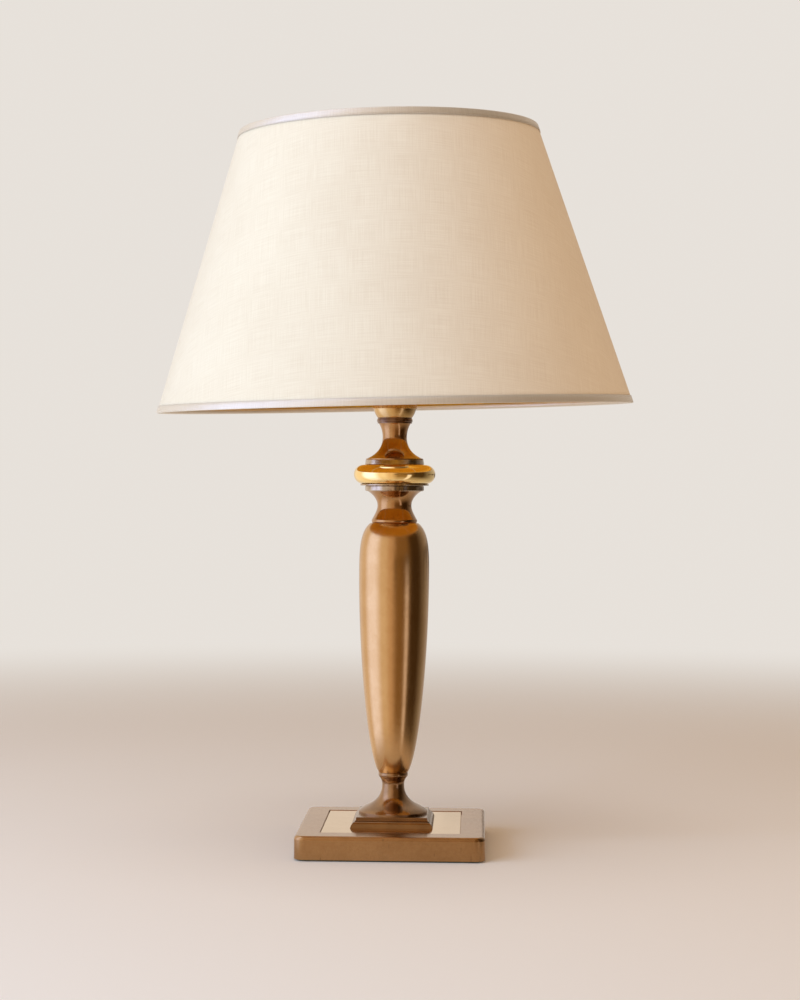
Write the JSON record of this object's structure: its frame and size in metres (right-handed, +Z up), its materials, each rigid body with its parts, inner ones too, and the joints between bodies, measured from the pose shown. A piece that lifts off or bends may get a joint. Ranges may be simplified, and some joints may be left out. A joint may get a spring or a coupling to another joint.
{
  "type": "candlestick lamp",
  "caption": "Table lamp with a turned brass candlestick column on a square weighted base, a screw lamp holder and a leaning empire shade that turns.",
  "frame": {"origin": "centre of the felt's underside, on the axis of the column", "axes": "+Z up along the column, -Y the front of the lamp, +Y the side with the cord inlet, +X to the right seen from the front"},
  "size_m": [0.4007, 0.4007, 0.6091],
  "materials": {
    "base_brass": "satin lacquered brass, brown patina",
    "plinth_brass": "satin brass, darker in the mouldings",
    "aged_brass": "aged brass, satin",
    "column_brass": "spun satin brass with brown patina",
    "polished_brass": "mirror polished brass",
    "holder_brass": "satin brass",
    "contact_brass": "bright pressed brass",
    "inlay": "pale champagne, fine brushed",
    "felt": "pressed wool felt",
    "board": "fibre board",
    "iron": "as cast",
    "steel": "zinc plated",
    "bush": "moulded",
    "ceramic": "unglazed steatite",
    "cover": "plain woven cotton",
    "lining": "gold film",
    "binding": "silver grey ribbon",
    "fitter": "white enamel",
    "bulb_glass": "opal",
    "bulb_cap": "bright pressed",
    "bulb_black": "fused black glass",
    "solder": "solder"
  },
  "bodies": {
    "stand": {"felt_pad": "felt", "base_board": "board", "base_shell": "base_brass", "base_weight": "iron", "inlay_panel": "inlay", "inlet_bush": "bush", "rod_washer": "steel", "rod_nut": "steel", "threaded_rod": "steel", "plinth": "plinth_brass", "bell_foot": "aged_brass", "foot_ring": "aged_brass", "vase_column": "column_brass", "lower_neck": "column_brass", "fillet_disc": "aged_brass", "thin_disc": "aged_brass", "gold_ring": "polished_brass", "upper_disc": "aged_brass", "upper_neck": "column_brass", "check_ring": "aged_brass", "holder_dome": "holder_brass", "holder_shell": "holder_brass", "holder_insulator": "ceramic", "screw_sleeve": "contact_brass", "centre_contact": "contact_brass", "terminal_screws": "steel"},
    "shade": {"shade_washer": "fitter", "shade_arms": "fitter", "bottom_wire": "fitter", "top_wire": "fitter", "shade_cover": "cover", "shade_lining": "lining", "bottom_binding": "binding", "top_binding": "binding"},
    "ring": {"shade_ring": "holder_brass"},
    "bulb_carrier": {"bulb_tip": "solder", "bulb_insulator": "bulb_black"},
    "bulb": {"bulb_cap": "bulb_cap", "bulb_glass": "bulb_glass"}
  },
  "joints": [
    {"name": "shade_turn", "type": "hinge", "parent": "stand", "child": "shade", "pos_m": [0, 0, 0.388], "axis": [0, 0, 1], "continuous": true},
    {"name": "ring_turn", "type": "hinge", "parent": "stand", "child": "ring", "pos_m": [0, 0, 0.3915], "axis": [0, 0, 1], "continuous": true},
    {"name": "bulb_rise", "type": "slide", "parent": "stand", "child": "bulb_carrier", "axis": [0, 0, 1], "range_m": [0, 0.0122]},
    {"name": "bulb_turn", "type": "hinge", "parent": "bulb_carrier", "child": "bulb", "pos_m": [0, 0, 0.4], "axis": [0, 0, 1], "range_deg": [0, 1200]}
  ],
  "couplings": [
    {"joint": "bulb_rise", "follows": "bulb_turn", "m_per_rad": 0.00057757}
  ]
}
